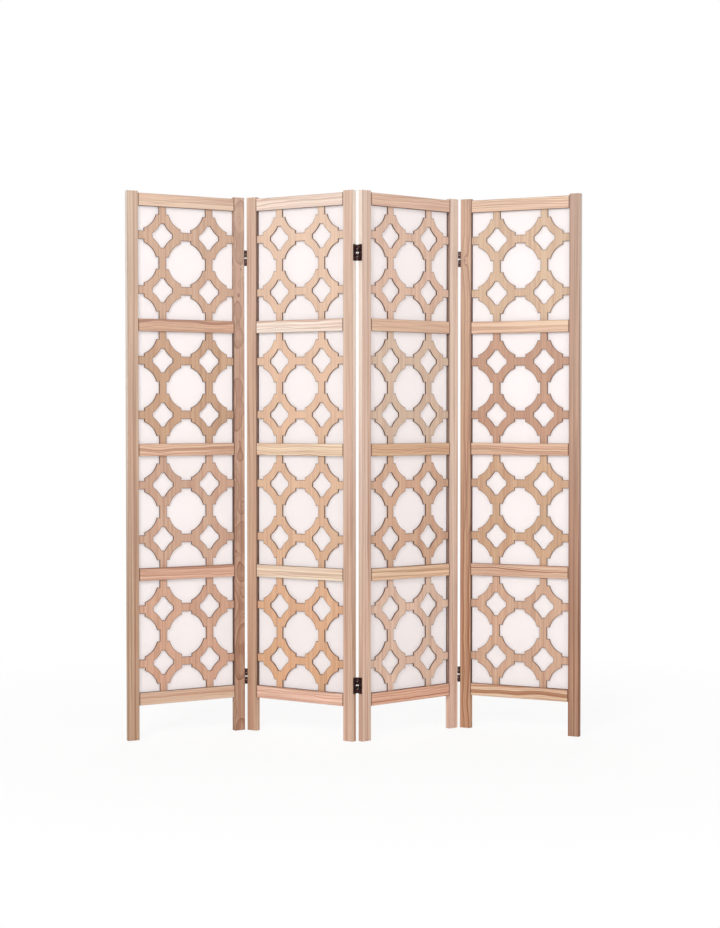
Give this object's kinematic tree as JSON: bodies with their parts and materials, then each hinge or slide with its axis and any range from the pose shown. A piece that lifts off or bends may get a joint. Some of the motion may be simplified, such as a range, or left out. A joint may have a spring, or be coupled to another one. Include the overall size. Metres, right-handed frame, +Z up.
{
  "type": "folding room divider",
  "caption": "Free-standing folding screen: pine frames of stiles and rails hold fretted lattices over white cloth, joined by butt hinges that fold to alternate sides.",
  "frame": {"origin": "on the floor, under the middle of the space that the screen takes up as it stands", "axes": "+X across the screen to the right as seen from the front, +Y away from the viewer towards the cloth side, +Z up"},
  "size_m": [1.4175, 0.279, 1.7],
  "materials": {
    "pine": "planed pine, satin",
    "fret": "thin pine-faced sheet, cut edges burnt brown",
    "cloth": "plain white cloth, held flat",
    "hinge": "antique bronze plated steel"
  },
  "bodies": {
    "panel_1": {"panel_1_left_stile": "pine", "panel_1_right_stile": "pine", "panel_1_bottom_rail": "pine", "panel_1_lower_rail": "pine", "panel_1_centre_rail": "pine", "panel_1_upper_rail": "pine", "panel_1_top_rail": "pine", "panel_1_lattices": "fret", "panel_1_cloth": "cloth", "panel_1_right_hinge_leaves": "hinge", "hinge_pins_1_2": "hinge"},
    "panel_2": {"panel_2_left_stile": "pine", "panel_2_right_stile": "pine", "panel_2_bottom_rail": "pine", "panel_2_lower_rail": "pine", "panel_2_centre_rail": "pine", "panel_2_upper_rail": "pine", "panel_2_top_rail": "pine", "panel_2_lattices": "fret", "panel_2_cloth": "cloth", "panel_2_left_hinge_leaves": "hinge", "panel_2_right_hinge_leaves": "hinge"},
    "panel_3": {"panel_3_left_stile": "pine", "panel_3_right_stile": "pine", "panel_3_bottom_rail": "pine", "panel_3_lower_rail": "pine", "panel_3_centre_rail": "pine", "panel_3_upper_rail": "pine", "panel_3_top_rail": "pine", "panel_3_lattices": "fret", "panel_3_cloth": "cloth", "panel_3_left_hinge_leaves": "hinge", "hinge_pins_2_3": "hinge", "panel_3_right_hinge_leaves": "hinge", "hinge_pins_3_4": "hinge"},
    "panel_4": {"panel_4_left_stile": "pine", "panel_4_right_stile": "pine", "panel_4_bottom_rail": "pine", "panel_4_lower_rail": "pine", "panel_4_centre_rail": "pine", "panel_4_upper_rail": "pine", "panel_4_top_rail": "pine", "panel_4_lattices": "fret", "panel_4_cloth": "cloth", "panel_4_left_hinge_leaves": "hinge"}
  },
  "joints": [
    {"name": "fold_1_2", "type": "hinge", "parent": "panel_2", "child": "panel_1", "pos_m": [-0.3496, 0.07652, 0.85], "axis": [0, 0, 1], "range_deg": [-63.47, 116.53]},
    {"name": "fold_2_3", "type": "hinge", "parent": "panel_2", "child": "panel_3", "pos_m": [0.00678, -0.12222, 0.85], "axis": [0, 0, 1], "range_deg": [-72.85, 107.15]},
    {"name": "fold_3_4", "type": "hinge", "parent": "panel_3", "child": "panel_4", "pos_m": [0.33463, 0.12071, 0.85], "axis": [0, 0, 1], "range_deg": [-114.11, 65.89]}
  ]
}
